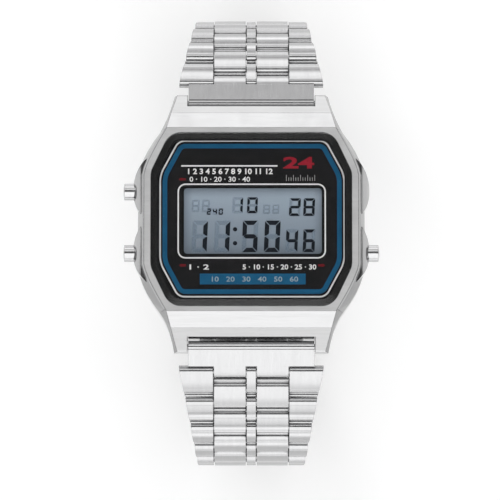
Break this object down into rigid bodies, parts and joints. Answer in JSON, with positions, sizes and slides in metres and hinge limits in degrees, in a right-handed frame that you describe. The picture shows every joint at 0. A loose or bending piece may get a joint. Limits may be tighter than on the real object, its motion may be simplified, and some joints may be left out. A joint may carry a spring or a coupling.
{
  "type": "digital wristwatch",
  "caption": "Digital wristwatch: octagonal polished steel case, side push buttons, display window and a tapering steel link bracelet with a folding clasp.",
  "frame": {"origin": "centre of the bounding box's base, under the clasp that the watch stands on", "axes": "+Z out of the dial, +Y toward 12 o'clock, +X toward 3 o'clock"},
  "size_m": [0.0364, 0.065, 0.0484],
  "materials": {
    "case_steel": "polished with fine brushing",
    "back_steel": "brushed",
    "bright_steel": "polished",
    "spring_steel": "drawn wire and stamped sheet",
    "button_steel": "polished",
    "link_steel": "polished, lightly brushed",
    "clasp_steel": "brushed",
    "glass": "clear",
    "dial": "printed black",
    "display": "grey display",
    "reflector": "satin foil",
    "zebra": "layered elastomer",
    "module_plastic": "moulded",
    "board": "lacquered board",
    "lamp": "lamp body",
    "contact": "gilt contacts",
    "battery": "stamped cell",
    "brass": "rolled",
    "black_rubber": "moulded"
  },
  "bodies": {
    "case": {"case": "case_steel", "crystal": "glass", "crystal_gasket": "black_rubber", "dial_plate": "dial", "lcd_glass": "display", "lcd_reflector": "reflector", "zebra_strips": "zebra", "module_frame": "module_plastic", "circuit_board": "board", "quartz_crystal": "bright_steel", "lamp": "lamp", "button_contacts": "contact", "battery": "battery", "battery_clip": "bright_steel", "buzzer_disc": "brass", "buzzer_spring": "spring_steel", "back_gasket": "black_rubber", "case_back": "back_steel", "case_back_screws": "bright_steel", "spring_bars": "bright_steel", "button_seals": "black_rubber", "light_spring": "spring_steel", "mode_spring": "spring_steel", "start_spring": "spring_steel"},
    "light_button": {"light_button": "button_steel", "light_clip": "spring_steel"},
    "mode_button": {"mode_button": "button_steel", "mode_clip": "spring_steel"},
    "start_button": {"start_button": "button_steel", "start_clip": "spring_steel"},
    "end_link_12": {"end_link_12": "link_steel"},
    "link_12_01": {"link_12_01": "link_steel"},
    "link_12_02": {"link_12_02": "link_steel"},
    "link_12_03": {"link_12_03": "link_steel"},
    "link_12_04": {"link_12_04": "link_steel"},
    "link_12_05": {"link_12_05": "link_steel"},
    "link_12_06": {"link_12_06": "link_steel"},
    "link_12_07": {"link_12_07": "link_steel"},
    "link_12_08": {"link_12_08": "link_steel"},
    "link_12_09": {"link_12_09": "link_steel"},
    "link_12_10": {"link_12_10": "link_steel", "release_bar_middle": "bright_steel"},
    "end_link_6": {"end_link_6": "link_steel"},
    "link_6_01": {"link_6_01": "link_steel"},
    "link_6_02": {"link_6_02": "link_steel"},
    "link_6_03": {"link_6_03": "link_steel"},
    "link_6_04": {"link_6_04": "link_steel"},
    "link_6_05": {"link_6_05": "link_steel"},
    "link_6_06": {"link_6_06": "link_steel"},
    "link_6_07": {"link_6_07": "link_steel"},
    "link_6_08": {"link_6_08": "link_steel"},
    "link_6_09": {"link_6_09": "link_steel"},
    "link_6_10": {"link_6_10": "link_steel"},
    "clasp_cover": {"clasp_cover": "clasp_steel", "clasp_spring_bar": "bright_steel", "clasp_fold_pin": "bright_steel"},
    "clasp_long_arm": {"clasp_long_arm": "clasp_steel", "clasp_tip_pin": "bright_steel"},
    "clasp_short_arm": {"clasp_short_arm": "clasp_steel", "release_bar_ends": "bright_steel"}
  },
  "joints": [
    {"name": "light_press", "type": "slide", "parent": "case", "child": "light_button", "axis": [1, 0, 0], "range_m": [0, 0.0008], "stiffness_N_per_m": 800, "springref_m": -0.0005, "deforming": ["light_spring"]},
    {"name": "mode_press", "type": "slide", "parent": "case", "child": "mode_button", "axis": [1, 0, 0], "range_m": [0, 0.0008], "stiffness_N_per_m": 800, "springref_m": -0.0005, "deforming": ["mode_spring"]},
    {"name": "start_press", "type": "slide", "parent": "case", "child": "start_button", "axis": [-1, 0, 0], "range_m": [0, 0.0008], "stiffness_N_per_m": 800, "springref_m": -0.0005, "deforming": ["start_spring"]},
    {"name": "end_link_12_hinge", "type": "hinge", "parent": "case", "child": "end_link_12", "pos_m": [0, 0.0175, 0.04182], "axis": [1, 0, 0], "range_deg": [0, 21.99]},
    {"name": "link_12_01_hinge", "type": "hinge", "parent": "end_link_12", "child": "link_12_01", "pos_m": [0, 0.02084, 0.04047], "axis": [1, 0, 0], "range_deg": [0, 13.99]},
    {"name": "link_12_02_hinge", "type": "hinge", "parent": "link_12_01", "child": "link_12_02", "pos_m": [0, 0.02488, 0.03753], "axis": [1, 0, 0], "range_deg": [0, 13.66]},
    {"name": "link_12_03_hinge", "type": "hinge", "parent": "link_12_02", "child": "link_12_03", "pos_m": [0, 0.02812, 0.03372], "axis": [1, 0, 0], "range_deg": [0, 13.66]},
    {"name": "link_12_04_hinge", "type": "hinge", "parent": "link_12_03", "child": "link_12_04", "pos_m": [0, 0.03036, 0.02925], "axis": [1, 0, 0], "range_deg": [0, 13.66]},
    {"name": "link_12_05_hinge", "type": "hinge", "parent": "link_12_04", "child": "link_12_05", "pos_m": [0, 0.03149, 0.02438], "axis": [1, 0, 0], "range_deg": [0, 13.66]},
    {"name": "link_12_06_hinge", "type": "hinge", "parent": "link_12_05", "child": "link_12_06", "pos_m": [0, 0.03143, 0.01938], "axis": [1, 0, 0], "range_deg": [0, 13.66]},
    {"name": "link_12_07_hinge", "type": "hinge", "parent": "link_12_06", "child": "link_12_07", "pos_m": [0, 0.03019, 0.01454], "axis": [1, 0, 0], "range_deg": [0, 13.66]},
    {"name": "link_12_08_hinge", "type": "hinge", "parent": "link_12_07", "child": "link_12_08", "pos_m": [0, 0.02785, 0.01012], "axis": [1, 0, 0], "range_deg": [0, 13.66]},
    {"name": "link_12_09_hinge", "type": "hinge", "parent": "link_12_08", "child": "link_12_09", "pos_m": [0, 0.02452, 0.00639], "axis": [1, 0, 0], "range_deg": [0, 13.66]},
    {"name": "link_12_10_hinge", "type": "hinge", "parent": "link_12_09", "child": "link_12_10", "pos_m": [0, 0.02041, 0.00354], "axis": [1, 0, 0], "range_deg": [0, 13.66]},
    {"name": "end_link_6_hinge", "type": "hinge", "parent": "case", "child": "end_link_6", "pos_m": [0, -0.0175, 0.04182], "axis": [-1, 0, 0], "range_deg": [0, 21.99]},
    {"name": "link_6_01_hinge", "type": "hinge", "parent": "end_link_6", "child": "link_6_01", "pos_m": [0, -0.02084, 0.04047], "axis": [-1, 0, 0], "range_deg": [0, 13.99]},
    {"name": "link_6_02_hinge", "type": "hinge", "parent": "link_6_01", "child": "link_6_02", "pos_m": [0, -0.02488, 0.03753], "axis": [-1, 0, 0], "range_deg": [0, 13.66]},
    {"name": "link_6_03_hinge", "type": "hinge", "parent": "link_6_02", "child": "link_6_03", "pos_m": [0, -0.02812, 0.03372], "axis": [-1, 0, 0], "range_deg": [0, 13.66]},
    {"name": "link_6_04_hinge", "type": "hinge", "parent": "link_6_03", "child": "link_6_04", "pos_m": [0, -0.03036, 0.02925], "axis": [-1, 0, 0], "range_deg": [0, 13.66]},
    {"name": "link_6_05_hinge", "type": "hinge", "parent": "link_6_04", "child": "link_6_05", "pos_m": [0, -0.03149, 0.02438], "axis": [-1, 0, 0], "range_deg": [0, 13.66]},
    {"name": "link_6_06_hinge", "type": "hinge", "parent": "link_6_05", "child": "link_6_06", "pos_m": [0, -0.03143, 0.01938], "axis": [-1, 0, 0], "range_deg": [0, 13.66]},
    {"name": "link_6_07_hinge", "type": "hinge", "parent": "link_6_06", "child": "link_6_07", "pos_m": [0, -0.03019, 0.01454], "axis": [-1, 0, 0], "range_deg": [0, 13.66]},
    {"name": "link_6_08_hinge", "type": "hinge", "parent": "link_6_07", "child": "link_6_08", "pos_m": [0, -0.02785, 0.01012], "axis": [-1, 0, 0], "range_deg": [0, 13.66]},
    {"name": "link_6_09_hinge", "type": "hinge", "parent": "link_6_08", "child": "link_6_09", "pos_m": [0, -0.02452, 0.00639], "axis": [-1, 0, 0], "range_deg": [0, 13.66]},
    {"name": "link_6_10_hinge", "type": "hinge", "parent": "link_6_09", "child": "link_6_10", "pos_m": [0, -0.02041, 0.00354], "axis": [-1, 0, 0], "range_deg": [0, 13.66]},
    {"name": "clasp_cover_hinge", "type": "hinge", "parent": "link_6_10", "child": "clasp_cover", "pos_m": [0, -0.01574, 0.00175], "axis": [-1, 0, 0], "range_deg": [0, 20.99]},
    {"name": "long_arm_hinge", "type": "hinge", "parent": "clasp_cover", "child": "clasp_long_arm", "pos_m": [0, 0.01129, 0.00145], "axis": [-1, 0, 0], "range_deg": [0, 105]},
    {"name": "short_arm_hinge", "type": "hinge", "parent": "clasp_long_arm", "child": "clasp_short_arm", "pos_m": [0, -0.01024, 0.0019], "axis": [1, 0, 0], "range_deg": [0, 105]}
  ]
}
